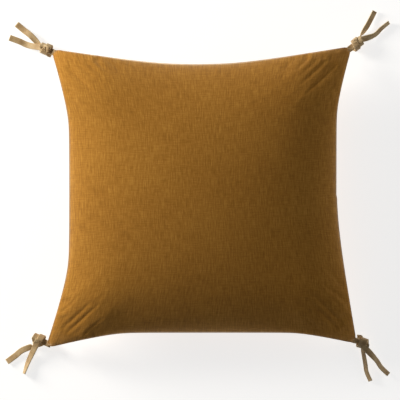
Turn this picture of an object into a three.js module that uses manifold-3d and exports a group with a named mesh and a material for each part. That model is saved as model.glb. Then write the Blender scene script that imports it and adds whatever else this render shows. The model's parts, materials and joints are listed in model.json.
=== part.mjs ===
// Square floor cushion: a linen cover over a fibre-filled pad, closed by a zip that is set under
// its front edge, with a knotted leather lace at each corner.
// Millimetres, +Z up, +Y to the back. The origin is under the middle of the cushion, on the floor.
import * as THREE from 'three';
import Module from 'manifold-3d';
import { mergeVertices } from 'three/addons/utils/BufferGeometryUtils.js';

const wasm = await Module();
wasm.setup();

// ---- Driving dimensions ----------------------------------------------------------------------

// Cover, as stuffed. The sides draw in between the corners.
const width = 606; // along X, corner to corner
const depth = 592; // along Y, corner to corner
const seamHeight = 66; // the seam's height above the floor along the sides
const cornerHeight = 18; // the same at the corners, which droop
const crownRise = 86; // top of the cushion above the seam
const bellyDrop = 80; // how far the underside would hang below the seam without the floor
const cloth = 1.2;
const seamGap = 0.3; // running clearance between any two pieces that touch
const cornerCut = 8; // how far each corner is blunted along X and along Y

// Where each seam corner sits from the corner of that rectangle, as the stuffing has pushed it.
const cornerShift = {
  front_left: [-6, -4],
  front_right: [6.5, 5],
  back_left: [5, -1.5],
  back_right: [-3, 4],
};

// How far each side draws in at its middle, and where its straight stretch ends, as a share of the
// half side towards its first (left or front) and its second corner.
const sides = {
  left: { drawIn: 43, straight: [0.42, 0.5], ends: ['front_left', 'back_left'], axis: 0, way: -1 },
  right: { drawIn: 35.5, straight: [0.08, 0.55], ends: ['front_right', 'back_right'], axis: 0, way: 1 },
  front: { drawIn: 28.5, straight: [0.5, 0.6], ends: ['front_left', 'front_right'], axis: 1, way: -1 },
  back: { drawIn: 33.5, straight: [0.2, 0.15], ends: ['back_left', 'back_right'], axis: 1, way: 1 },
};
const flare = 1.1; // how sharply a side turns out to its corner
const bluntStart = 0.935; // share of the way to a corner, in u times v, where it starts to be blunt
const droopStart = 0.62; // where the seam starts to fall to the corner
const roundness = 0.6; // swell of the cushion from the seam to the crown

// Inner pad
const padGap = 0.5; // pad to cover at the crown and at the belly
const padToTape = 5.5; // pad edge to the edge of the zip's rear tape
const ticking = 1;
const fillingGap = 0.5; // fibre to ticking at the crown and at the belly
const fillingEase = 0.09; // fibre to ticking round the edge, as a share of the corners' droop

// Zip, in a flat slot under the front edge
const zipLength = 320;
const zipMiddle = 10; // X of its middle
const slotDepth = 12; // how far the bottom panel's lip is set back from the front edge
const slotMargin = 20; // the slot stays fully open this far past each end of the zip
const slotRunOut = 26; // length along X over which the lip comes back to the edge
const tape = { thickness: 0.6, overlap: 5 };
const coil = { width: 2.2, height: 2.2, part: 1.6 };
const slider = { length: 11, wall: 1.0, plate: 1.4, neck: 0.8 };
const bridge = { width: 1.8, bar: 1.0, opening: 2.3, span: 6.4 };
const pull = { length: 24, width: 6, thickness: 1.2, window: 4.0 };
const stop = { length: 3, wall: 0.8 };

// Laces: each is folded double in its corner, tied in one overhand knot, and leaves two tails.
const lace = { width: 12, thickness: 2.4 };
const knot = { length: 28, width: 28, height: 26 };

// Each corner: where its lace heads, in degrees from +X, and the stretch of it that shows between
// the corner and the knot. Each tail has its points from the knot to the cut end, X and Y from the
// knot's centre and Z from the floor, and the strap's roll about its own run at its start and end.
const corners = {
  back_left: {
    heading: 157,
    stretch: 5,
    tails: {
      a: {
        points: [[-12.5, 12, 17], [-28.5, 25, 10], [-44.5, 38, 4], [-59.5, 50.5, 2]],
        roll: [0, 0],
      },
      b: {
        points: [[-18.5, 2, 8], [-34.5, 8, 4], [-53.5, 16, 2.2], [-73.5, 23.5, 2]],
        roll: [0, 0],
      },
    },
  },
  back_right: {
    heading: 38,
    stretch: 7,
    tails: {
      a: {
        points: [[11.5, 18, 12], [19.5, 32, 7.5], [28.5, 48, 6.2], [37, 65, 6]],
        roll: [35, 40],
      },
      b: {
        points: [[21.5, 7, 8], [33.5, 16, 7.4], [49.5, 30, 7], [65.5, 43, 6.2]],
        roll: [40, 60],
      },
    },
  },
  front_left: {
    heading: 158,
    stretch: 8.6,
    tails: {
      a: {
        points: [[-15, -8, 12], [-31, -19.5, 7], [-47, -31.5, 3.8], [-64, -44, 3.5]],
        roll: [10, 16],
      },
      b: {
        points: [[-9, -13.5, 8], [-19, -37.5, 6.8], [-25, -52.5, 6.8], [-30, -67.5, 6.8]],
        roll: [20, 70],
      },
    },
  },
  front_right: {
    heading: -17.5,
    stretch: 6,
    tails: {
      a: {
        points: [[4.5, -18, 14], [5.5, -39, 8.5], [8.5, -58, 6.8], [16.5, -76.5, 6.6]],
        roll: [50, 55],
      },
      b: {
        points: [[13.5, -13, 9], [26.5, -33, 7], [37.5, -49, 6], [52.5, -63.5, 6]],
        roll: [-40, -45],
      },
    },
  },
};

const colours = {
  linen: 0x9a7036,
  ticking: 0xe9e4d8,
  fibre: 0xf4f2ee,
  tape: 0x8d6a38,
  coil: 0xa17a45,
  metal: 0xb08a4a,
  leather: 0xb39c78,
};

// ---- Materials -------------------------------------------------------------------------------

function material(color, roughness, metalness = 0) {
  return new THREE.MeshStandardMaterial({ color, roughness, metalness });
}

const materials = {
  linen: material(colours.linen, 0.9),
  ticking: material(colours.ticking, 0.9),
  fibre: material(colours.fibre, 1),
  tape: material(colours.tape, 0.85),
  coil: material(colours.coil, 0.5),
  metal: material(colours.metal, 0.35, 1),
  leather: material(colours.leather, 0.7),
};

const cushion = new THREE.Group();

function addPiece(name, geometry, surface) {
  const piece = new THREE.Mesh(geometry, surface);
  piece.name = name;
  cushion.add(piece);
}

// ---- Shape of the cushion --------------------------------------------------------------------

const halfWidth = width / 2;
const halfDepth = depth / 2;

/** Where a side runs, across its own run, at s from -1 at its first corner to 1 at its second. */
function sideLine(side, s) {
  const end = s < 0 ? 0 : 1;
  const start = side.straight[end];
  const beyond = Math.max(0, (Math.abs(s) - start) / (1 - start));
  const half = side.axis === 0 ? halfWidth : halfDepth;
  const middle = side.way * (half - side.drawIn);
  const corner = side.way * half + cornerShift[side.ends[end]][side.axis];
  return THREE.MathUtils.lerp(middle, corner, beyond ** flare);
}

/** Plan position of the cushion's seam sheet at (u, v), each from -1 to 1. */
function plan(u, v) {
  const x = THREE.MathUtils.lerp(sideLine(sides.left, v), sideLine(sides.right, v), (1 + u) / 2);
  const y = THREE.MathUtils.lerp(sideLine(sides.front, u), sideLine(sides.back, u), (1 + v) / 2);
  const blunt = cornerCut * Math.max(0, (Math.abs(u * v) - bluntStart) / (1 - bluntStart)) ** 2;
  return [x - Math.sign(u) * blunt, y - Math.sign(v) * blunt];
}

/** Height of the seam sheet at (u, v): level, with drooping corners. */
function seamLevel(u, v) {
  const beyond = Math.max(0, (Math.abs(u * v) - droopStart) / (1 - droopStart));
  return seamHeight - (seamHeight - cornerHeight) * beyond ** 2;
}

/**
 * A point of a skin that lies `under` the cover's outer face, above the seam for side 1 and below
 * it for side -1. `inset` draws the skin's edge in from the outline.
 */
function skin(u, v, side, under, inset) {
  const [x, y] = plan(u, v);
  const rise = side > 0 ? crownRise : bellyDrop;
  const swell = ((1 - u * u) * (1 - v * v)) ** roundness;
  const shareX = 1 - inset / halfWidth;
  const shareY = 1 - inset / halfDepth;
  const seam = seamLevel(u * shareX, v * shareY);
  const z = seam + side * (seamGap / 2 + (rise - under) * swell);
  return [x * shareX, y * shareY, Math.max(z, under)];
}

/** Turns the diagonals of a box's lower face to run as those of its upper face do. */
function matchDiagonals(geometry) {
  const lowerFace = geometry.groups[5];
  const corner = geometry.index.array;
  for (let i = lowerFace.start; i < lowerFace.start + lowerFace.count; i += 6) {
    const [a, b, d, , c] = corner.slice(i, i + 6);
    corner.set([a, b, c, a, c, d], i);
  }
}

/** A box of unit half sides whose grid is closer near its edges, mapped by place(u, v, w). */
function mapped(divisions, place) {
  const geometry = new THREE.BoxGeometry(2, 2, 2, divisions, divisions, 1);
  matchDiagonals(geometry);
  const at = geometry.attributes.position;
  for (let i = 0; i < at.count; i += 1) {
    const u = Math.sin((at.getX(i) * Math.PI) / 2);
    const v = Math.sin((at.getY(i) * Math.PI) / 2);
    at.setXYZ(i, ...place(u, v, at.getZ(i)));
  }
  geometry.computeVertexNormals();
  return geometry;
}

// ---- Cover -----------------------------------------------------------------------------------

const zipStart = zipMiddle - zipLength / 2;
const zipEnd = zipMiddle + zipLength / 2;
const frontEdge = sideLine(sides.front, 0);
const tapeTop = seamHeight - seamGap / 2;
const tapeBottom = tapeTop - tape.thickness;

/** 1 along the zip, falling smoothly to 0 past its ends. */
function slotShare(x) {
  const past = Math.max(zipStart - x, x - zipEnd) - slotMargin;
  return 1 - THREE.MathUtils.smoothstep(past, 0, slotRunOut);
}

/** The bottom panel, whose front lip is set back and down to make room for the zip. */
function bottomPanelPoint(u, v, w) {
  const under = w < 0 ? 0 : cloth;
  const [x, y, z] = skin(u, v, -1, under, under);
  const nearLip = Math.max(0, (-v - 0.8) / 0.2) ** 2;
  const set = v < 0 ? slotShare(x) * nearLip : 0;
  return [x, y + slotDepth * set, z - (tape.thickness + seamGap) * set];
}

function topPanelPoint(u, v, w) {
  const under = w > 0 ? 0 : cloth;
  return skin(u, v, 1, under, under);
}

addPiece('cover_top_panel', mapped(24, topPanelPoint), materials.linen);
addPiece('cover_bottom_panel', mapped(24, bottomPanelPoint), materials.linen);

// ---- Pad -------------------------------------------------------------------------------------

const padInset = slotDepth + tape.overlap + padToTape; // from the cover's outline
const padUnder = cloth + padGap;
const fillingUnder = padUnder + ticking + fillingGap;
const fillingInset = padInset + ticking + fillingEase * (seamHeight - cornerHeight);

function tickingPoint(side) {
  return (u, v, w) => {
    const inner = w * side < 0;
    const under = padUnder + (inner ? ticking : 0);
    return skin(u, v, side, under, padInset + (inner ? ticking : 0));
  };
}

function fillingPoint(u, v, w) {
  return skin(u, v, w > 0 ? 1 : -1, fillingUnder, fillingInset);
}

addPiece('pad_ticking_top', mapped(17, tickingPoint(1)), materials.ticking);
addPiece('pad_ticking_bottom', mapped(17, tickingPoint(-1)), materials.ticking);
addPiece('pad_filling', mapped(17, fillingPoint), materials.fibre);

// ---- Zip -------------------------------------------------------------------------------------

/** A box between two corners. */
function block(from, to) {
  const size = to.map((end, i) => end - from[i]);
  const geometry = new THREE.BoxGeometry(...size);
  return geometry.translate(...to.map((end, i) => (end + from[i]) / 2));
}

function toSolid(geometry) {
  const bare = geometry.clone();
  bare.deleteAttribute('normal');
  bare.deleteAttribute('uv');
  const merged = mergeVertices(bare, 1e-4);
  return new wasm.Manifold(new wasm.Mesh({
    numProp: 3,
    vertProperties: new Float32Array(merged.attributes.position.array),
    triVerts: new Uint32Array(merged.index.array),
  }));
}

function toGeometry(solid) {
  const mesh = solid.getMesh();
  const geometry = new THREE.BufferGeometry();
  geometry.setAttribute('position', new THREE.BufferAttribute(mesh.vertProperties, 3));
  geometry.setIndex(new THREE.BufferAttribute(mesh.triVerts, 1));
  geometry.computeVertexNormals();
  return geometry;
}

/** An outline in (Y, Z) extruded along X, with its middle at x. */
function alongX(shape, x, length) {
  const geometry = new THREE.ExtrudeGeometry(shape, { depth: length, bevelEnabled: false });
  const turn = new THREE.Matrix4().makeBasis(
    new THREE.Vector3(0, 1, 0),
    new THREE.Vector3(0, 0, 1),
    new THREE.Vector3(1, 0, 0),
  );
  return geometry.applyMatrix4(turn).translate(x - length / 2, 0, 0);
}

function outline(points) {
  return new THREE.Shape(points.map(([y, z]) => new THREE.Vector2(y, z)));
}

const zipY = frontEdge + slotDepth * 0.58; // middle line of the coils
const coilTop = tapeBottom - seamGap;
const coilBottom = coilTop - coil.height;
const coilInner = coil.part / 2; // from the middle line to each coil's near face
const coilOuter = coilInner + coil.width;
const lipFront = frontEdge + slotDepth;

/** Tapes and coils, front (side -1) and rear (side 1) of the middle line. */
function zipSide(label, side, tapeEdge) {
  const near = zipY + side * coilInner;
  const ends = [near, tapeEdge].sort((a, b) => a - b);
  const rows = [near, zipY + side * coilOuter].sort((a, b) => a - b);
  addPiece(
    `zip_tape_${label}`,
    block([zipStart, ends[0], tapeBottom], [zipEnd, ends[1], tapeTop]),
    materials.tape,
  );
  addPiece(
    `zip_coil_${label}`,
    block([zipStart, rows[0], coilBottom], [zipEnd, rows[1], coilTop]),
    materials.coil,
  );
}

zipSide('front', -1, frontEdge + seamGap);
zipSide('rear', 1, lipFront + tape.overlap);

// The slider: an inner plate over the tapes, a neck between the coils, and an outer plate with a
// flange each side. The pull hangs in a bridge under the outer plate.
const sliderX = zipEnd - stop.length - slider.length / 2 - seamGap * 2;
const plateTop = coilBottom - seamGap;
const plateBottom = plateTop - slider.plate;
const flangeInner = coilOuter + seamGap;
const flangeOuter = flangeInner + slider.wall;
const innerPlate = tapeTop + seamGap;

function sliderOutline() {
  const half = slider.neck / 2;
  const flangeTop = coilTop - seamGap / 2;
  const right = [
    [flangeOuter, plateBottom],
    [flangeOuter, flangeTop],
    [flangeInner, flangeTop],
    [flangeInner, plateTop],
    [half, plateTop],
    [half, innerPlate],
    [flangeOuter - slider.wall, innerPlate],
    [flangeOuter - slider.wall, innerPlate + slider.plate],
  ];
  const left = right.map(([y, z]) => [-y, z]).reverse();
  return outline([...right, ...left].map(([y, z]) => [zipY + y, z]));
}

const pivotZ = plateBottom - bridge.opening / 2;

/** Two feet and a bar, seen from the front, with the opening that the pull turns in. */
function bridgeGeometry() {
  const low = plateBottom - bridge.opening - bridge.bar;
  const foot = bridge.bar;
  const span = bridge.span / 2;
  const from = [sliderX - span, zipY - bridge.width / 2, low];
  const to = [sliderX + span, zipY + bridge.width / 2, plateBottom + slider.plate / 2];
  const hole = block(
    [sliderX - span + foot, zipY - bridge.width, low + bridge.bar],
    [sliderX + span - foot, zipY + bridge.width, plateBottom],
  );
  return toSolid(block(from, to)).subtract(toSolid(hole));
}

const sliderBody = toSolid(alongX(sliderOutline(), sliderX, slider.length));
addPiece('zip_slider', toGeometry(sliderBody.add(bridgeGeometry())), materials.metal);

/** The pull, hanging: a tab with a window at its top that leaves one bar in the bridge. */
function pullGeometry() {
  const half = pull.width / 2;
  const top = pivotZ + pull.thickness / 2;
  const end = top - pull.length;
  const tab = new THREE.Shape();
  tab.moveTo(zipY - half, top);
  tab.lineTo(zipY - half, end + half);
  tab.absarc(zipY, end + half, half, Math.PI, 2 * Math.PI, false);
  tab.lineTo(zipY + half, top);
  const windowHalf = bridge.width / 2 + seamGap * 2;
  const windowTop = top - pull.thickness;
  tab.holes.push(outline([
    [zipY - windowHalf, windowTop],
    [zipY + windowHalf, windowTop],
    [zipY + windowHalf, windowTop - pull.window],
    [zipY - windowHalf, windowTop - pull.window],
  ]));
  return alongX(tab, sliderX, pull.thickness);
}

addPiece('zip_pull', pullGeometry(), materials.metal);

/** A clip round the coil rows between yFrom and yTo, open above where the tape runs. */
function clip(x, yFrom, yTo) {
  const low = coilBottom - seamGap - stop.wall;
  const high = coilTop - seamGap / 2;
  return alongX(outline([
    [yFrom - seamGap - stop.wall, low],
    [yTo + seamGap + stop.wall, low],
    [yTo + seamGap + stop.wall, high],
    [yTo + seamGap, high],
    [yTo + seamGap, coilBottom - seamGap],
    [yFrom - seamGap, coilBottom - seamGap],
    [yFrom - seamGap, high],
    [yFrom - seamGap - stop.wall, high],
  ]), x, stop.length);
}

const stopLine = { low: zipStart + stop.length / 2, high: zipEnd - stop.length / 2 };
addPiece('zip_bottom_stop', clip(stopLine.low, zipY - coilOuter, zipY + coilOuter), materials.metal);

/** One top stop, a bar under the end of one coil. */
function topStop(label, side) {
  const ends = [zipY + side * coilInner, zipY + side * coilOuter].sort((a, b) => a - b);
  const low = coilBottom - seamGap - stop.wall;
  const from = [stopLine.high - stop.length / 2, ends[0], low];
  const to = [stopLine.high + stop.length / 2, ends[1], coilBottom - seamGap];
  addPiece(`zip_top_stop_${label}`, block(from, to), materials.metal);
}

topStop('front', -1);
topStop('rear', 1);

// ---- Laces -----------------------------------------------------------------------------------

const foldGap = seamGap; // from the corner's face to the fold of the lace
const foldRadius = lace.thickness + seamGap / 2; // the lace is double where it leaves the seam
const tailGap = 0.8; // from a knot to the middle of a tail's flat end
const stepsPerTail = 8;

/** A flat strap with square cut ends along hand-placed points, rolled about its own run. */
function strap(points, roll, width, thickness) {
  const run = new THREE.CatmullRomCurve3(points.map((p) => new THREE.Vector3(...p)));
  const geometry = new THREE.BoxGeometry(2, 2, 1, 1, 1, stepsPerTail);
  const at = geometry.attributes.position;
  const up = new THREE.Vector3(0, 0, 1);
  const corner = new THREE.Vector3();
  for (let i = 0; i < at.count; i += 1) {
    const share = at.getZ(i) + 0.5;
    const tangent = run.getTangent(share);
    const turn = THREE.MathUtils.degToRad(THREE.MathUtils.lerp(roll[0], roll[1], share));
    const across = new THREE.Vector3().crossVectors(up, tangent).normalize();
    across.applyAxisAngle(tangent, turn);
    const face = new THREE.Vector3().crossVectors(tangent, across);
    corner.copy(run.getPoint(share));
    corner.addScaledVector(across, (at.getX(i) * width) / 2);
    corner.addScaledVector(face, (at.getY(i) * thickness) / 2);
    at.setXYZ(i, corner.x, corner.y, corner.z);
  }
  geometry.computeVertexNormals();
  return geometry;
}

/** The fold of a lace: a strap edge on, round where it turns on the corner's stitches. */
function foldGeometry(length) {
  const side = new THREE.Shape();
  side.moveTo(length, -foldRadius);
  side.lineTo(length, foldRadius);
  side.lineTo(foldRadius, foldRadius);
  side.absarc(foldRadius, 0, foldRadius, Math.PI / 2, (3 * Math.PI) / 2, false);
  const settings = { depth: lace.width, bevelEnabled: false, curveSegments: 6 };
  const geometry = new THREE.ExtrudeGeometry(side, settings);
  return geometry.translate(0, 0, -lace.width / 2).rotateX(Math.PI / 2);
}

/** Where a tail that heads for `towards` leaves the knot's surface. */
function leavingPoint(knotCentre, towards) {
  const leave = new THREE.Vector3(...towards).sub(knotCentre);
  const radii = new THREE.Vector3(knot.length, knot.width, knot.height).divideScalar(2);
  const toSurface = leave.length() / leave.clone().divide(radii).length();
  leave.setLength(toSurface + tailGap);
  return leave.add(knotCentre).toArray();
}

function addLace(name, { heading, stretch, tails }) {
  const [endName, sideName] = name.split('_');
  const u = sideName === 'left' ? -1 : 1;
  const v = endName === 'front' ? -1 : 1;
  const [cornerX, cornerY] = plan(u, v);
  const reach = stretch + knot.length / 2;
  const turn = THREE.MathUtils.degToRad(heading);
  const knotCentre = new THREE.Vector3(
    cornerX + reach * Math.cos(turn),
    cornerY + reach * Math.sin(turn),
    knot.height / 2 + seamGap,
  );
  const foldLow = (cornerHeight - foldRadius - knotCentre.z) / (knot.height / 2);
  const knotInner = reach - (knot.length / 2) * Math.sqrt(1 - foldLow ** 2);
  const fold = foldGeometry(knotInner - seamGap - foldGap);
  fold.translate(foldGap, 0, 0).rotateZ(turn).translate(cornerX, cornerY, cornerHeight);
  addPiece(`lace_fold_${name}`, fold, materials.leather);
  const ball = new THREE.SphereGeometry(1, 16, 12);
  ball.scale(knot.length / 2, knot.width / 2, knot.height / 2).rotateZ(turn);
  ball.translate(knotCentre.x, knotCentre.y, knotCentre.z);
  addPiece(`lace_knot_${name}`, ball, materials.leather);
  for (const [label, { points, roll }] of Object.entries(tails)) {
    const placed = points.map(([x, y, z]) => [knotCentre.x + x, knotCentre.y + y, z]);
    const route = [leavingPoint(knotCentre, placed[0]), ...placed.slice(1)];
    const tail = strap(route, roll, lace.width, lace.thickness);
    addPiece(`lace_tail_${label}_${name}`, tail, materials.leather);
  }
}

for (const [name, layout] of Object.entries(corners)) {
  addLace(name, layout);
}

export default cushion;
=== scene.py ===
"""Square floor cushion: linen cover, zip under the front edge, knotted leather laces."""

import json
import math

import bpy
import numpy as np
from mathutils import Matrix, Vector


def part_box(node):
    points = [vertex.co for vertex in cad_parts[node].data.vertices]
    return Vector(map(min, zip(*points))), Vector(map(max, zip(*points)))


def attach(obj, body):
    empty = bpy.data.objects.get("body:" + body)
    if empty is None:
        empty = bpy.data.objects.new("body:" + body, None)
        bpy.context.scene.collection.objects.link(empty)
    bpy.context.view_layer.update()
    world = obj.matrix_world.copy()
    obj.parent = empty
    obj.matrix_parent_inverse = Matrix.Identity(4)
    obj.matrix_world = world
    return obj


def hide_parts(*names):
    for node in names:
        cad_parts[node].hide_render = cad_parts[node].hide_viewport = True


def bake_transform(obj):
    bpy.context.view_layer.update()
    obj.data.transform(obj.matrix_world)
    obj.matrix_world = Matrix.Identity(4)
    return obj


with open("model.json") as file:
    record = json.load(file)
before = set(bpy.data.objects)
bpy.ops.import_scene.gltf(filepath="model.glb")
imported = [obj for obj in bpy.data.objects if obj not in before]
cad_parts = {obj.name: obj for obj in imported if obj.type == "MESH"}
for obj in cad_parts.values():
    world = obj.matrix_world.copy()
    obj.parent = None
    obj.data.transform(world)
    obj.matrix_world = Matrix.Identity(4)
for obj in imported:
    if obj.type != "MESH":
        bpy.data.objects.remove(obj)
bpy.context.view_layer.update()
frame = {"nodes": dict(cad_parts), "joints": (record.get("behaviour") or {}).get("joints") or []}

# ---- Sizes, in metres -------------------------------------------------------------------------

MM = 0.001

# Cover, as stuffed
CUT = 600 * MM  # side of each panel as cut, between its seams
SEAM_HEIGHT = 66 * MM
CORNER_HEIGHT = 18 * MM
CROWN_RISE = 86 * MM
CROWN_SLACK = 2 * MM  # how much lower the finished crown is
BELLY_DROP = 80 * MM
CLOTH = 1.2 * MM
SEAM_GAP = 0.3 * MM
CORNER_CUT = 8 * MM
BLUNT_START = 0.935  # in u times v, where a corner starts to be blunt
DROOP_START = 0.62  # in u times v, where the seam starts to fall to the corner
ROUNDNESS = 0.6
FLARE = 1.25
SIDE_ROUND = 0.18  # share of a flare over which a side turns gently into it

# Middle of each side and its two seam corners, in millimetres, and where its straight stretch ends
# towards each corner, as a share of the half side
SIDES = {
    "left": (-260.0, -309.0, -298.0, 0.42, 0.50),
    "right": (267.5, 309.5, 300.0, 0.08, 0.55),
    "front": (-267.5, -300.0, -291.0, 0.50, 0.60),
    "back": (262.5, 294.5, 300.0, 0.20, 0.15),
}

# Zip slot under the front edge
ZIP_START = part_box("zip_coil_front")[0][0]
ZIP_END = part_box("zip_coil_front")[1][0]
SLOT_DEPTH = 12 * MM
SLOT_MARGIN = 20 * MM
SLOT_RUN_OUT = 26 * MM
LIP_START = 0.8  # in v, where the lower panel starts to step back to its lip
TAPE = 0.6 * MM

# Laces
LACE_WIDTH = 12 * MM
LACE_THICK = 2.4 * MM
FLOOR_CLEARANCE = 0.1 * MM

# Cells along each side of a panel in the simulation, each of which is split in two after it
SIM_CELLS = 96
SIM_FRAMES = 30


# ---- Colour, nodes and meshes -----------------------------------------------------------------


def colour(code):
    """An sRGB hex value as linear red, green, blue, alpha."""
    parts = [int(code[i : i + 2], 16) / 255 for i in (1, 3, 5)]
    linear = [c / 12.92 if c <= 0.04045 else ((c + 0.055) / 1.055) ** 2.4 for c in parts]
    return (*linear, 1.0)


def add_node(tree, kind, settings=None, **inputs):
    """Adds a node with its settings, and sets or links each of its inputs."""
    node = tree.nodes.new("ShaderNode" + kind)
    for name, value in (settings or {}).items():
        setattr(node, name, value)
    for name, value in inputs.items():
        key = int(name[1:]) if name[0] == "_" else name.replace("__", " ")
        if isinstance(value, bpy.types.NodeSocket):
            tree.links.new(value, node.inputs[key])
        else:
            node.inputs[key].default_value = value
    return node


def new_material(name):
    material = bpy.data.materials.new(name)
    material.use_nodes = True
    tree = material.node_tree
    return material, tree, tree.nodes["Principled BSDF"]


def set_inputs(node, **values):
    for name, value in values.items():
        node.inputs[name.replace("__", " ")].default_value = value


def ramp(tree, factor, *stops):
    """A colour ramp through (position, hex) stops."""
    node = add_node(tree, "ValToRGB", Fac=factor)
    elements = node.color_ramp.elements
    while len(elements) < len(stops):
        elements.new(0.5)
    for element, (position, code) in zip(elements, stops):
        element.position = position
        element.color = colour(code)
    return node.outputs["Color"]


def math_node(tree, operation, a, b=0.0, c=0.0):
    return add_node(tree, "Math", {"operation": operation}, _0=a, _1=b, _2=c).outputs[0]


def new_object(name, points, faces, material, uv=None):
    """A mesh object at the origin from an array of points and a list or array of faces."""
    mesh = bpy.data.meshes.new(name)
    mesh.from_pydata(np.asarray(points).tolist(), [], [list(map(int, face)) for face in faces])
    mesh.update()
    if uv is not None:
        layer = mesh.uv_layers.new(name="Lay")
        corners = np.zeros(len(mesh.loops), dtype=np.int32)
        mesh.loops.foreach_get("vertex_index", corners)
        layer.data.foreach_set("uv", np.asarray(uv)[corners].ravel())
    mesh.shade_smooth()
    piece = bpy.data.objects.new(name, mesh)
    bpy.context.scene.collection.objects.link(piece)
    if material is not None:
        mesh.materials.append(material)
    return piece


def grid_faces(rows, columns, first=0, closed=False):
    """Quads of a rows by columns grid of points. A closed grid joins its last column to its first."""
    index = np.arange(rows * columns).reshape(rows, columns) + first
    if closed:
        index = np.concatenate([index, index[:, :1]], axis=1)
    quads = [index[:-1, :-1], index[:-1, 1:], index[1:, 1:], index[1:, :-1]]
    return np.stack([q.ravel() for q in quads], axis=1)


def square(half):
    """The corners of a square on the floor, from its half side."""
    return [(-half, -half, 0), (half, -half, 0), (half, half, 0), (-half, half, 0)]


def unit(vectors):
    length = np.linalg.norm(vectors, axis=-1, keepdims=True)
    return vectors / np.maximum(length, 1e-12)


# ---- Camera -----------------------------------------------------------------------------------

VIEW_WIDTH = 0.79  # what the frame holds across, at the seam's height
CAMERA_HEIGHT = 9.0
VIEW_CENTRE = (-0.002, -0.0055)
SENSOR = 36.0


def add_camera():
    """Looks straight down, with the cushion's back to the top."""
    lens = bpy.data.cameras.new("camera")
    lens.sensor_width = SENSOR
    lens.lens = SENSOR * (CAMERA_HEIGHT - SEAM_HEIGHT) / VIEW_WIDTH
    camera = bpy.data.objects.new("camera", lens)
    camera.location = (*VIEW_CENTRE, CAMERA_HEIGHT)
    bpy.context.scene.collection.objects.link(camera)
    bpy.context.scene.camera = camera


add_camera()
bpy.context.scene.view_settings.view_transform = "Standard"


# ---- Laces: routes ----------------------------------------------------------------------------

# Each tail's points from the knot to its cut end, in millimetres, X and Y from the knot's middle
# and Z from the floor, with the roll of the strap about its own run at the knot and at the cut
# end, in degrees. `face` turns the knot about its own run.
LACES = {
    "back_left": {
        "face": 20,
        "a": ([(-12.5, 12, 17), (-28.5, 25, 10), (-44.5, 38, 4), (-59.5, 50.5, 2)], (0, 0)),
        "b": ([(-18.5, 2, 8), (-34.5, 8, 4), (-53.5, 16, 2.2), (-73.5, 23.5, 2)], (0, 0)),
    },
    "back_right": {
        "face": -30,
        "a": ([(11.5, 18, 12), (19.5, 32, 7.5), (28.5, 48, 6.2), (37, 65, 6)], (35, 40)),
        "b": ([(21.5, 7, 8), (33.5, 16, 7.4), (49.5, 30, 7), (65.5, 43, 6.2)], (40, 60)),
    },
    "front_left": {
        "face": 0,
        "a": ([(-15, -8, 12), (-31, -19.5, 7), (-47, -31.5, 3.8), (-64, -44, 3.5)], (10, 16)),
        "b": ([(-9, -13.5, 8), (-19, -37.5, 6.8), (-25, -52.5, 6.8), (-30, -67.5, 6.8)], (20, 70)),
    },
    "front_right": {
        "face": 40,
        "a": ([(4.5, -18, 14), (5.5, -39, 8.5), (8.5, -58, 6.8), (16.5, -76.5, 6.6)], (50, 55)),
        "b": ([(13.5, -13, 9), (26.5, -33, 7), (37.5, -49, 6), (52.5, -63.5, 6)], (-40, -45)),
    },
}
STEP = 1.6 * MM  # between a lace's rings
SEAM_DEPTH = 6 * MM  # how far a lace starts inside the corner seam

# The knot, in millimetres along its own run from its middle: each leg first runs through its core,
# at (distance, height), then winds back towards the corner as a growing ellipse.
CORE = ((-9, 1.3), (0, 1.3), (7, 1.6))
WRAP_POINTS = 22  # in one turn
WRAP_TURNS = 1.6
HALF_TURN = 0.5
WRAP_RADII = (8.8, 6.2)  # across and up, at the start of the turns
WRAP_GROWTH = 3.6  # of each radius over WRAP_TURNS
WRAP_START = 9.0
WRAP_RUN = 16.0  # over WRAP_TURNS
LOWER_SHIFT = 3  # how much nearer the corner the lower leg's half turn lies
LOWER_SPREAD = 1.2  # how much wider it is


def smooth_path(points, normals, step):
    """Catmull-Rom through the points, read again every `step` metres, with a normal at each."""
    points, normals = np.asarray(points, float), np.asarray(normals, float)
    ends = np.vstack([2 * points[0] - points[1], points, 2 * points[-1] - points[-2]])
    t = np.linspace(0, 1, 12, endpoint=False)[:, None]
    curve, across = [], []
    for i in range(len(points) - 1):
        p0, p1, p2, p3 = ends[i : i + 4]
        curve.append(0.5 * (2 * p1 + (p2 - p0) * t + (2 * p0 - 5 * p1 + 4 * p2 - p3) * t**2
                            + (3 * p1 - p0 - 3 * p2 + p3) * t**3))
        across.append(normals[i] * (1 - t) + normals[i + 1] * t)
    curve = np.vstack([*curve, points[-1:]])
    across = np.vstack([*across, normals[-1:]])
    run = np.concatenate([[0], np.cumsum(np.linalg.norm(np.diff(curve, axis=0), axis=1))])
    at = np.linspace(0, run[-1], int(round(run[-1] / step)) + 1)
    curve = np.stack([np.interp(at, run, curve[:, k]) for k in range(3)], axis=1)
    across = np.stack([np.interp(at, run, across[:, k]) for k in range(3)], axis=1)
    return curve, unit(across), run[-1]


# Section of a lace: a rectangle with eased edges, as (share of half width, share of half thickness)
LACE_SECTION = np.array([
    (-1.0, -0.45), (-0.93, -0.9), (-0.8, -1.0), (-0.4, -1.0), (0.0, -1.0), (0.4, -1.0), (0.8, -1.0),
    (0.93, -0.9), (1.0, -0.45), (1.0, 0.45), (0.93, 0.9), (0.8, 1.0), (0.4, 1.0), (0.0, 1.0),
    (-0.4, 1.0), (-0.8, 1.0), (-0.93, 0.9), (-1.0, 0.45),
])


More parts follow.
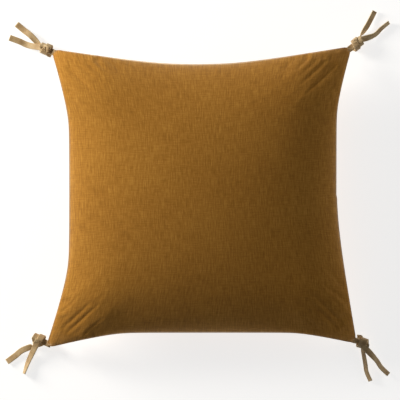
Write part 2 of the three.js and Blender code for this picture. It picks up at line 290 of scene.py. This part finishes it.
def strap_mesh(name, curve, normals, material):
    """Sweeps the lace's section along a path: across = tangent x normal, face = across x tangent.
    The UV map is in metres, along the lace and round its section."""
    tangent = unit(np.gradient(curve, axis=0))
    across = unit(np.cross(tangent, normals))
    face = np.cross(across, tangent)
    half = LACE_SECTION * np.array([LACE_WIDTH, LACE_THICK]) / 2
    rings = (curve[:, None] + across[:, None] * half[None, :, :1]
             + face[:, None] * half[None, :, 1:])
    rings[..., 2] = np.maximum(rings[..., 2], FLOOR_CLEARANCE)
    count, around = rings.shape[:2]
    faces = grid_faces(count, around, closed=True).tolist()
    faces.append(list(range(around))[::-1])
    faces.append(list(range((count - 1) * around, count * around)))
    run = np.concatenate([[0], np.cumsum(np.linalg.norm(np.diff(curve, axis=0), axis=1))])
    girth = half[:, 0]
    uv = np.stack(np.broadcast_arrays(run[:, None], girth[None, :]), axis=-1).reshape(-1, 2)
    piece = new_object(name, rings.reshape(-1, 3), faces, material, uv=uv)
    mesh = piece.data
    side = np.broadcast_to(np.abs(LACE_SECTION[:, 0]) > 0.97, (count, around)).astype(float).copy()
    side[[0, -1]] = 1.0
    layer = mesh.attributes.new("cut_edge", "FLOAT", "POINT")
    layer.data.foreach_set("value", side.ravel())
    return piece


def knot_frame(corner):
    """The stitch line's middle, the knot's middle, and unit vectors outwards, across and up."""
    joint = next(j for j in frame["joints"] if j["name"] == "lace_swing_" + corner)
    stitch = np.array(joint["pos_m"])
    low, high = (np.array(end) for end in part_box("lace_knot_" + corner))
    middle = (low + high) / 2
    out = unit((middle - stitch) * (1, 1, 0))
    return stitch, middle, out, np.cross((0, 0, 1), out), np.array((0.0, 0.0, 1.0))


def tail_part(points, roll, middle):
    """The tail's points with a face normal at each, turned about its run by the roll."""
    points = np.array(points) * MM + middle * (1, 1, 0)
    tangent = unit(np.gradient(points, axis=0))
    level = unit(np.cross((0, 0, 1), tangent))
    up = np.cross(tangent, level)
    turn = np.radians(np.linspace(roll[0], roll[1], len(points)))[:, None]
    return points, up * np.cos(turn) - level * np.sin(turn)


def lace_leg(corner, leg):
    """One leg of a lace: along the core of the knot, turns round it, then its tail.
    A turn is an ellipse about the knot's run, whose radii grow as it winds back to the corner."""
    stitch, middle, out, across, up = knot_frame(corner)
    layout = LACES[corner]
    upper = leg == "a"
    lift = LACE_THICK * (0.52 if upper else -0.52)
    face = math.radians(layout["face"])

    def place(x, y, z):
        y, z = y * math.cos(face) - z * math.sin(face), y * math.sin(face) + z * math.cos(face)
        return middle + out * x * MM + across * y * MM + up * z * MM

    start = stitch - out * SEAM_DEPTH + up * lift
    core = [start, stitch + up * lift]
    normal = [up, up]
    side = 1 if upper else -1
    for x, z in CORE:
        core.append(place(x, 0, side * z))
        normal.append(unit(place(0, 0, 1) - place(0, 0, 0)))
    if upper:
        turns, first, shift, spread = WRAP_TURNS, 75, 0, 0
    else:
        turns, first, shift, spread = HALF_TURN, -100, LOWER_SHIFT, LOWER_SPREAD
    share = np.linspace(0, 1, int(WRAP_POINTS * turns) + 2)
    angle = np.radians(first + 360 * turns * share)
    grown = WRAP_GROWTH * share * turns / WRAP_TURNS + spread
    radius_y, radius_z = (radius + grown for radius in WRAP_RADII)
    x = WRAP_START - WRAP_RUN * share * turns / WRAP_TURNS - shift
    for a, ry, rz, px in zip(angle, radius_y, radius_z, x):
        core.append(place(px, ry * math.cos(a), rz * math.sin(a)))
        normal.append(unit(core[-1] - place(px, 0, 0)))
    tail, tail_normal = tail_part(*layout[leg], middle)
    points = np.vstack([core, tail[1:]])
    normals = np.vstack([normal, tail_normal[1:]])
    curve, across_normals, length = smooth_path(points, normals, STEP)
    return curve, across_normals, length, stitch, out


def add_laces(material):
    for corner in LACES:
        for leg in ("a", "b"):
            curve, normals, length, stitch, out = lace_leg(corner, leg)
            piece = strap_mesh(f"lace_{corner}_{leg}", curve, normals, material)
            if leg == "a":
                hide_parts(f"lace_fold_{corner}", f"lace_knot_{corner}",
                            f"lace_tail_a_{corner}")
            else:
                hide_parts(f"lace_tail_b_{corner}")
            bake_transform(piece)


# ---- Cover: shape and cloth simulation ----------------------------------------------------------


def side_line(side, s):
    """Middle + (corner - middle) * beyond^FLARE. `beyond` goes from 0 on the straight stretch to 1
    at the corner, as (past + sqrt(past^2 + SIDE_ROUND^2)) / 2, so that it starts without a kink."""
    middle, first, second, start_first, start_second = SIDES[side]
    start = np.where(s < 0, start_first, start_second)
    corner = np.where(s < 0, first, second)
    past = (np.abs(s) - start) / (1 - start)
    beyond = (past + np.hypot(past, SIDE_ROUND)) / (1 + math.hypot(1, SIDE_ROUND))
    return (middle + (corner - middle) * beyond**FLARE) * MM


def plan(u, v):
    """Plan position of the seam sheet: straight lines across between the side lines."""
    x = side_line("left", v) * (1 - u) / 2 + side_line("right", v) * (1 + u) / 2
    y = side_line("front", u) * (1 - v) / 2 + side_line("back", u) * (1 + v) / 2
    blunt = CORNER_CUT * np.maximum(0, (np.abs(u * v) - BLUNT_START) / (1 - BLUNT_START)) ** 2
    return x - np.sign(u) * blunt, y - np.sign(v) * blunt


def seam_level(u, v):
    """Height of the seam sheet: level, with corners that fall as the square of the way to them."""
    beyond = np.maximum(0, (np.abs(u * v) - DROOP_START) / (1 - DROOP_START))
    return SEAM_HEIGHT - (SEAM_HEIGHT - CORNER_HEIGHT) * beyond**2


def slot_share(x):
    """1 along the zip, falling smoothly to 0 past its ends."""
    past = np.clip((np.maximum(ZIP_START - x, x - ZIP_END) - SLOT_MARGIN) / SLOT_RUN_OUT, 0, 1)
    return 1 - past * past * (3 - 2 * past)


def start_skin(u, v, side):
    """The panel before it is simulated: seam + side * rise * ((1 - u^2)(1 - v^2))^ROUNDNESS, with
    the lower panel's front lip set back and down by the square of the nearness to it."""
    x, y = plan(u, v)
    rise = (CROWN_RISE if side > 0 else BELLY_DROP) * START_SWELL
    swell = ((1 - u * u) * (1 - v * v)) ** ROUNDNESS
    z = seam_level(u, v) + side * (SEAM_GAP / 2 + rise * swell)
    if side < 0:
        near_lip = np.maximum(0, (-v - LIP_START) / (1 - LIP_START)) ** 2
        move = slot_share(x) * near_lip
        y = y + SLOT_DEPTH * move
        z = z - (TAPE + SEAM_GAP) * move
    return np.stack([x, y, np.maximum(z, 0.0)], axis=-1)


def panel_grid(cells):
    ticks = np.linspace(-1, 1, cells + 1)
    return np.meshgrid(ticks, ticks, indexing="xy")


# Stiff along its threads, slack across them and soft to bend, blown up by air from inside
LINEN_CLOTH = {
    "quality": 7,
    "mass": 0.25,
    "tension_stiffness": 40,
    "compression_stiffness": 25,
    "shear_stiffness": 12,
    "bending_stiffness": 0.3,
    "tension_damping": 12,
    "compression_damping": 12,
    "shear_damping": 12,
    "bending_damping": 0.5,
    "air_damping": 2,
    "use_pressure": True,
    "uniform_pressure_force": 5,
}
START_SWELL = 0.8  # share of the full rise that the panels start from


def simulate_cover():
    """Both panels, cut flat and square, are held at their seam and blown up from inside. The air
    lifts the crown less high than the cushion's own, so the rise above the seam is then scaled up
    to it."""
    u, v = panel_grid(SIM_CELLS)
    size = SIM_CELLS + 1
    panels = [start_skin(u, v, 1), start_skin(u, v, -1)]
    top_faces = grid_faces(size, size)
    bottom_faces = grid_faces(size, size, first=size * size)[:, ::-1]
    shape = np.concatenate([p.reshape(-1, 3) for p in panels])
    piece = new_object("cloth", shape, np.concatenate([top_faces, bottom_faces]), None)
    flat = np.stack([u * CUT / 2, v * CUT / 2, np.zeros_like(u)], axis=-1).reshape(-1, 3)
    piece.shape_key_add(name="stuffed")
    cut = piece.shape_key_add(name="as_cut")
    cut.data.foreach_set("co", np.concatenate([flat, flat]).ravel())
    cut.value = 0
    held = piece.vertex_groups.new(name="held")
    edge = (np.maximum(np.abs(u), np.abs(v)) > 0.999).ravel()
    held.add(np.flatnonzero(np.concatenate([edge, edge])).tolist(), 1.0, "REPLACE")
    floor = new_object("press", square(1.0), [(0, 1, 2, 3)], None)
    floor.modifiers.new("Collision", "COLLISION")
    floor.collision.thickness_outer = 0.001
    cloth = piece.modifiers.new("Cloth", "CLOTH")
    for name, value in LINEN_CLOTH.items():
        setattr(cloth.settings, name, value)
    cloth.settings.effector_weights.gravity = 0
    cloth.settings.vertex_group_mass = "held"
    cloth.settings.rest_shape_key = cut
    cloth.collision_settings.use_collision = True
    cloth.collision_settings.distance_min = 0.002
    cloth.collision_settings.use_self_collision = False
    scene = bpy.context.scene
    scene.frame_start, scene.frame_end = 1, SIM_FRAMES
    cloth.point_cache.frame_end = SIM_FRAMES
    for step in range(1, SIM_FRAMES + 1):
        scene.frame_set(step)
    graph = bpy.context.evaluated_depsgraph_get()
    blown = piece.evaluated_get(graph).to_mesh()
    points = np.zeros(len(blown.vertices) * 3)
    blown.vertices.foreach_get("co", points)
    scene.frame_set(1)
    for done in (piece, floor):
        mesh = done.data
        bpy.data.objects.remove(done)
        bpy.data.meshes.remove(mesh)
    upper, lower = points.reshape(2, size, size, 3)
    above = np.maximum(upper[..., 2] - SEAM_HEIGHT, 0)
    upper[..., 2] += above * (CROWN_RISE - CROWN_SLACK - above.max()) / above.max()
    return [upper, lower]


# ---- Cover: finished panels -------------------------------------------------------------------

PUCKER_HEIGHT = 1.1 * MM
PUCKER_REACH = 16 * MM  # how far a pucker runs in from the seam
PUCKER_LENGTHS = (19 * MM, 31 * MM, 12.3 * MM)  # along the seam
SEAM_FLAT = 3 * MM  # beside the seam, where the stitches hold the linen flat
rng = np.random.default_rng(7)


def refine(grid):
    """Doubles a grid of points: new ones on the cubic through their four neighbours."""
    for axis in (0, 1):
        grid = np.swapaxes(grid, 0, axis)
        padded = np.concatenate([2 * grid[:1] - grid[1:2], grid, 2 * grid[-1:] - grid[-2:-1]])
        middle = (9 * (padded[1:-2] + padded[2:-1]) - padded[:-3] - padded[3:]) / 16
        out = np.zeros((2 * len(grid) - 1, *grid.shape[1:]))
        out[0::2], out[1::2] = grid, middle
        grid = np.swapaxes(out, 0, axis)
    return grid


def grid_normals(grid, side):
    """Outward unit normals of a panel grid from its two tangents."""
    return side * unit(np.cross(np.gradient(grid, axis=1), np.gradient(grid, axis=0)))


def wobble(along, lengths):
    """A sum of sines of the given wavelengths with random phases and a slow random strength."""
    total = 0
    for length in lengths:
        phase, slow = rng.uniform(0, 2 * math.pi, 2)
        strength = 0.65 + 0.35 * np.sin(along * 2 * math.pi / (length * 7.3) + slow)
        total = total + strength * np.sin(along * 2 * math.pi / length + phase)
    return total / len(lengths)


def finish_panel(grid, side):
    """Adds the gathers that run in from the seam: wobble along it, fading inwards."""
    grid = refine(grid)
    size = len(grid)
    ticks = np.linspace(-CUT / 2, CUT / 2, size)
    flat_x, flat_y = np.meshgrid(ticks, ticks, indexing="xy")
    normal = grid_normals(grid, side)
    move = np.zeros((size, size))
    for axis in (1, 0):
        for end in (-1, 1):
            inward = CUT / 2 - end * ticks
            fade = np.exp(-((inward / PUCKER_REACH) ** 1.2)) * (1 - np.exp(-inward / SEAM_FLAT))
            pucker = PUCKER_HEIGHT * np.outer(wobble(ticks, PUCKER_LENGTHS), fade)
            move += pucker if axis == 1 else pucker.T
    grid = grid + normal * move[..., None]
    grid[..., 2] = np.maximum(grid[..., 2], 0.0)
    return grid, np.stack([flat_x, flat_y], axis=-1)


def thicken(piece, thickness):
    """Gives a sheet its thickness, inwards."""
    wall = piece.modifiers.new("Cloth thickness", "SOLIDIFY")
    wall.thickness = thickness
    wall.offset = -1


def add_panel(name, node, grid, side, material):
    grid, flat = finish_panel(grid, side)
    size = len(grid)
    faces = grid_faces(size, size)
    if side < 0:
        faces = faces[:, ::-1]
    piece = new_object(name, grid.reshape(-1, 3), faces, material, uv=flat.reshape(-1, 2))
    thicken(piece, CLOTH)
    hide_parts(node)
    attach(piece, "root")


PAD_MIDDLE = np.array([0.0, 0.0, SEAM_HEIGHT + 6 * MM])
TICKING_SHARE = (0.945, 0.945, 0.95)  # of the cover's size, along X, Y and Z
FIBRE_SHARE = (0.925, 0.925, 0.92)
TICKING = 0.8 * MM


def drawn_in(grid, share):
    """A panel's grid drawn in towards the pad's middle."""
    return PAD_MIDDLE + (grid - PAD_MIDDLE) * share


def declare_pad(piece, node):
    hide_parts(node)
    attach(piece, "root")


def add_ticking(name, node, panel, side, material):
    shape = drawn_in(panel[::2, ::2], TICKING_SHARE)
    faces = grid_faces(len(shape), len(shape))
    if side < 0:
        faces = faces[:, ::-1]
    piece = new_object(name, shape.reshape(-1, 3), faces, material)
    thicken(piece, TICKING)
    declare_pad(piece, node)


def add_fibre(panels, material):
    """The fill: both panels drawn in further, closed by a rim between their edges."""
    upper, lower = (drawn_in(panel[::3, ::3], FIBRE_SHARE) for panel in panels)
    size = len(upper)
    under = size * size  # index of the lower grid's first point
    index = np.arange(size * size).reshape(size, size)
    ring = np.concatenate([index[0, :-1], index[:-1, -1], index[-1, :0:-1], index[:0:-1, 0]])
    rim = [np.roll(ring, -1), ring, ring + under, np.roll(ring, -1) + under]
    faces = np.concatenate([
        grid_faces(size, size),
        grid_faces(size, size, first=under)[:, ::-1],
        np.stack(rim, axis=1),
    ])
    points = np.concatenate([upper.reshape(-1, 3), lower.reshape(-1, 3)])
    declare_pad(new_object("pad_fibre", points, faces, material), "pad_filling")


# ---- Materials --------------------------------------------------------------------------------

THREAD = 1.1 * MM  # linen thread spacing, drawn a little coarse so that it shows
SLUB = (2.3 * MM, 24 * MM)  # width and length of a thick place in a thread


def linen_material():
    """Plain-woven linen, piece-dyed ochre: dull threads of uneven thickness that streak both ways,
    paler where their fuzz catches a low light."""
    material, tree, shader = new_material("ochre_linen")
    lay = add_node(tree, "UVMap", {"uv_map": "Lay"}).outputs[0]
    streaks = []
    for width, length in ((SLUB[0], SLUB[1]), (SLUB[1], SLUB[0])):
        stretch = add_node(tree, "Mapping", _0=lay, _3=(1 / width, 1 / length, 1.0)).outputs[0]
        noise = add_node(tree, "TexNoise", Vector=stretch, Scale=1.0, Detail=4.0, Roughness=0.66)
        streaks.append(noise.outputs[0])
    warp = add_node(tree, "TexWave", {"bands_direction": "X"}, Vector=lay, Distortion=1.5,
                    Scale=math.pi / (10 * THREAD), Detail=1.0, Detail__Scale=3.0).outputs[1]
    weft = add_node(tree, "TexWave", {"bands_direction": "Y"}, Vector=lay, Distortion=1.5,
                    Scale=math.pi / (10 * THREAD), Detail=1.0, Detail__Scale=3.0).outputs[1]
    weave = math_node(tree, "MULTIPLY", warp, weft)
    cloud = add_node(tree, "TexNoise", Vector=lay, Scale=7.0, Detail=3.0).outputs[0]
    both = math_node(tree, "MULTIPLY_ADD", streaks[0], 0.64,
                     math_node(tree, "MULTIPLY", streaks[1], 0.36))
    tone = math_node(tree, "MULTIPLY_ADD", cloud, 0.12, math_node(tree, "MULTIPLY", both, 0.88))
    tone = math_node(tree, "MULTIPLY_ADD", weave, 0.08, tone)
    tint = ramp(tree, tone, (0.38, "#946320"), (0.51, "#ad7729"), (0.65, "#c48f3c"))
    tree.links.new(tint, shader.inputs["Base Color"])
    height = math_node(tree, "MULTIPLY_ADD", weave, 0.5, both)
    bump = add_node(tree, "Bump", Height=height, Distance=0.5 * MM, Strength=0.55)
    tree.links.new(bump.outputs[0], shader.inputs["Normal"])
    rough = math_node(tree, "MULTIPLY_ADD", both, 0.12, 0.82)
    tree.links.new(rough, shader.inputs["Roughness"])
    set_inputs(shader, Specular__IOR__Level=0.15, Sheen__Weight=0.85, Sheen__Roughness=0.4)
    shader.inputs["Sheen Tint"].default_value = colour("#f6e8cc")
    return material


def leather_material():
    """Undyed vegetable-tanned lace, cut from a split: matt pale tan, a fine grain, and paler fibrous
    edges where the knife left it raw."""
    material, tree, shader = new_material("veg_tan_lace")
    place = add_node(tree, "TexCoord").outputs["Object"]
    grain = add_node(tree, "TexVoronoi", {"feature": "DISTANCE_TO_EDGE"}, Vector=place,
                     Scale=1 / (1.1 * MM)).outputs[0]
    patch = add_node(tree, "TexNoise", Vector=place, Scale=1 / (14 * MM), Detail=4.0).outputs[0]
    tint = ramp(tree, patch, (0.3, "#ac8d62"), (0.5, "#c2a67a"), (0.7, "#d2ba90"))
    edge = add_node(tree, "Attribute", {"attribute_name": "cut_edge"}).outputs["Fac"]
    cut = add_node(tree, "MixRGB", Fac=edge, Color1=tint, Color2=colour("#e0cca4")).outputs[0]
    tree.links.new(cut, shader.inputs["Base Color"])
    height = math_node(tree, "MULTIPLY_ADD", patch, 0.5, math_node(tree, "MINIMUM", grain, 0.3))
    bump = add_node(tree, "Bump", Height=height, Distance=0.3 * MM, Strength=0.5)
    tree.links.new(bump.outputs[0], shader.inputs["Normal"])
    rough = math_node(tree, "MULTIPLY_ADD", patch, 0.2, 0.55)
    tree.links.new(rough, shader.inputs["Roughness"])
    set_inputs(shader, Specular__IOR__Level=0.35, Sheen__Weight=0.1)
    return material


def cotton_material():
    """Unbleached cotton ticking: close, plain and matt."""
    material, tree, shader = new_material("cotton_ticking")
    place = add_node(tree, "TexCoord").outputs["Object"]
    noise = add_node(tree, "TexNoise", Vector=place, Scale=1 / (2 * MM), Detail=2.0).outputs[0]
    tree.links.new(ramp(tree, noise, (0.3, "#d9d2c2"), (0.7, "#ece7db")),
                   shader.inputs["Base Color"])
    bump = add_node(tree, "Bump", Height=noise, Distance=0.2 * MM, Strength=0.5)
    tree.links.new(bump.outputs[0], shader.inputs["Normal"])
    set_inputs(shader, Roughness=0.9)
    return material


def fibre_material():
    """Carded polyester fibre: white, soft, clumped."""
    material, tree, shader = new_material("polyester_fibre")
    place = add_node(tree, "TexCoord").outputs["Object"]
    noise = add_node(tree, "TexNoise", Vector=place, Scale=1 / (12 * MM), Detail=6.0).outputs[0]
    tree.links.new(ramp(tree, noise, (0.3, "#e4e2de"), (0.7, "#f7f6f3")),
                   shader.inputs["Base Color"])
    bump = add_node(tree, "Bump", Height=noise, Distance=2 * MM, Strength=0.7)
    tree.links.new(bump.outputs[0], shader.inputs["Normal"])
    set_inputs(shader, Roughness=1.0, Sheen__Weight=0.4)
    return material


def tape_material():
    """Woven polyester zip tape, dyed to the linen: fine cross ribs."""
    material, tree, shader = new_material("polyester_tape")
    place = add_node(tree, "TexCoord").outputs["Object"]
    rib = add_node(tree, "TexWave", {"bands_direction": "X"}, Vector=place,
                   Scale=math.pi / (10 * 0.8 * MM), Distortion=0.6).outputs[1]
    tree.links.new(ramp(tree, rib, (0.0, "#6e4b20"), (1.0, "#8b6330")),
                   shader.inputs["Base Color"])
    bump = add_node(tree, "Bump", Height=rib, Distance=0.15 * MM, Strength=0.6)
    tree.links.new(bump.outputs[0], shader.inputs["Normal"])
    set_inputs(shader, Roughness=0.75)
    return material


def coil_material():
    """Extruded nylon coil: smooth, slightly translucent plastic with a satin shine."""
    material, tree, shader = new_material("nylon_coil")
    place = add_node(tree, "TexCoord").outputs["Object"]
    noise = add_node(tree, "TexNoise", Vector=place, Scale=1 / (6 * MM)).outputs[0]
    tree.links.new(ramp(tree, noise, (0.3, "#8f6a38"), (0.7, "#a37c46")),
                   shader.inputs["Base Color"])
    set_inputs(shader, Roughness=0.38, IOR=1.53)
    return material


def brass_material():
    """Die-cast and brass-plated zip hardware, tumbled: satin, rubbed brighter in patches."""
    material, tree, shader = new_material("plated_brass")
    place = add_node(tree, "TexCoord").outputs["Object"]
    noise = add_node(tree, "TexNoise", Vector=place, Scale=1 / (2.5 * MM), Detail=4.0).outputs[0]
    tree.links.new(ramp(tree, noise, (0.3, "#97743a"), (0.7, "#b8934f")),
                   shader.inputs["Base Color"])
    rough = math_node(tree, "MULTIPLY_ADD", noise, 0.25, 0.22)
    tree.links.new(rough, shader.inputs["Roughness"])
    bump = add_node(tree, "Bump", Height=noise, Distance=0.05 * MM, Strength=0.4)
    tree.links.new(bump.outputs[0], shader.inputs["Normal"])
    set_inputs(shader, Metallic=1.0)
    return material


# ---- Zip --------------------------------------------------------------------------------------

COIL_PITCH = 1.4 * MM
COIL_WIRE = 0.55 * MM


def add_coil(name, node, side, material):
    """A flattened helix that fills the coil's box: an ellipse that advances one pitch a turn."""
    low, high = (np.array(end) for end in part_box(node))
    middle, radius = (low + high) / 2, (high - low) / 2 - COIL_WIRE / 2
    turns = int((high[0] - low[0] - COIL_WIRE) / COIL_PITCH)
    angle = np.linspace(0, 2 * math.pi * turns, turns * 10 + 1)
    line = np.stack([
        low[0] + COIL_WIRE / 2 + COIL_PITCH * angle / (2 * math.pi),
        middle[1] + side * radius[1] * np.cos(angle),
        middle[2] + radius[2] * np.sin(angle),
    ], axis=1)
    tangent = unit(np.gradient(line, axis=0))
    outward = unit(line - np.stack([line[:, 0], np.full(len(line), middle[1]),
                                    np.full(len(line), middle[2])], axis=1))
    beside = unit(np.cross(tangent, outward))
    outward = np.cross(beside, tangent)
    around = np.linspace(0, 2 * math.pi, 6, endpoint=False)
    rings = (line[:, None] + COIL_WIRE / 2 * (np.cos(around)[None, :, None] * outward[:, None]
                                              + np.sin(around)[None, :, None] * beside[:, None]))
    faces = grid_faces(len(line), 6, closed=True).tolist()
    faces += [list(range(6))[::-1], list(range((len(line) - 1) * 6, len(line) * 6))]
    piece = new_object(name, rings.reshape(-1, 3), faces, material)
    flip_if_inside_out(piece)
    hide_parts(node)
    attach(piece, "root")


def flip_if_inside_out(piece):
    """Turns a closed mesh's faces outwards if its signed volume is negative."""
    mesh = piece.data
    mesh.calc_loop_triangles()
    corners = np.zeros(len(mesh.loop_triangles) * 3, dtype=np.int32)
    mesh.loop_triangles.foreach_get("vertices", corners)
    points = np.zeros(len(mesh.vertices) * 3)
    mesh.vertices.foreach_get("co", points)
    a, b, c = points.reshape(-1, 3)[corners.reshape(-1, 3)].transpose(1, 0, 2)
    if np.einsum("ij,ij->", a, np.cross(b, c)) < 0:
        mesh.flip_normals()


def dress_node(node, material):
    """Gives a CAD piece its finish."""
    mesh = frame["nodes"][node].data
    mesh.materials.clear()
    mesh.materials.append(material)


def add_zip(tape, coil, brass):
    add_coil("zip_coil_row_front", "zip_coil_front", -1, coil)
    add_coil("zip_coil_row_rear", "zip_coil_rear", 1, coil)
    for node in ("zip_tape_front", "zip_tape_rear"):
        dress_node(node, tape)
    for node in ("zip_slider", "zip_pull", "zip_bottom_stop", "zip_top_stop_front",
                 "zip_top_stop_rear"):
        dress_node(node, brass)


# ---- Studio -----------------------------------------------------------------------------------


LIGHT_TARGET = (0, 0, 0.07)  # the middle of the cushion
LIGHT_TINT = "#fff8ee"
ROOM_STRENGTH = 0.085
SWEEP_HALF_SIDE = 4.0
SWEEP_COLOUR = "#b8b8b8"
SWEEP_GLOW = 0.76  # keeps the sweep white in the low light


def aim_angles(aim):
    """Euler angles that turn -Z onto the aim."""
    flat = math.hypot(aim[0], aim[1])
    return (math.atan2(flat, -aim[2]), 0.0, math.atan2(aim[1], aim[0]) - math.pi / 2)


def add_light(name, place, size, power):
    """A square area light that faces the cushion, its size in metres and its power in watts."""
    light = bpy.data.lights.new(name, "AREA")
    light.shape = "SQUARE"
    light.size = size
    light.energy = power
    light.color = colour(LIGHT_TINT)[:3]
    lamp = bpy.data.objects.new(name, light)
    lamp.location = place
    lamp.rotation_euler = aim_angles(np.array(LIGHT_TARGET) - np.array(place))
    bpy.context.scene.collection.objects.link(lamp)


def add_studio():
    """A white sweep, a soft light low on the left and a little behind, a weak one from the right,
    and a dim white room."""
    add_light("window", (-2.55, 1.26, 0.99), 1.0, 104)
    add_light("bounce", (2.45, 0.90, 1.2), 1.6, 12)
    world = bpy.data.worlds.new("room")
    world.use_nodes = True
    background = world.node_tree.nodes["Background"]
    background.inputs["Color"].default_value = colour("#ffffff")
    background.inputs["Strength"].default_value = ROOM_STRENGTH
    bpy.context.scene.world = world
    material, tree, shader = new_material("white_sweep")
    set_inputs(shader, Roughness=0.9, Emission__Strength=SWEEP_GLOW)
    shader.inputs["Base Color"].default_value = colour(SWEEP_COLOUR)
    shader.inputs["Emission Color"].default_value = colour("#ffffff")
    new_object("floor", square(SWEEP_HALF_SIDE), [(0, 1, 2, 3)], material)


# ---- Assembly ---------------------------------------------------------------------------------

linen = linen_material()
leather = leather_material()
brass = brass_material()
add_laces(leather)
panels = simulate_cover()
add_panel("linen_top_panel", "cover_top_panel", panels[0], 1, linen)
add_panel("linen_bottom_panel", "cover_bottom_panel", panels[1], -1, linen)
cotton = cotton_material()
fibre = fibre_material()
add_ticking("pad_ticking_upper", "pad_ticking_top", panels[0], 1, cotton)
add_ticking("pad_ticking_lower", "pad_ticking_bottom", panels[1], -1, cotton)
add_fibre(panels, fibre)
add_zip(tape_material(), coil_material(), brass)
add_studio()
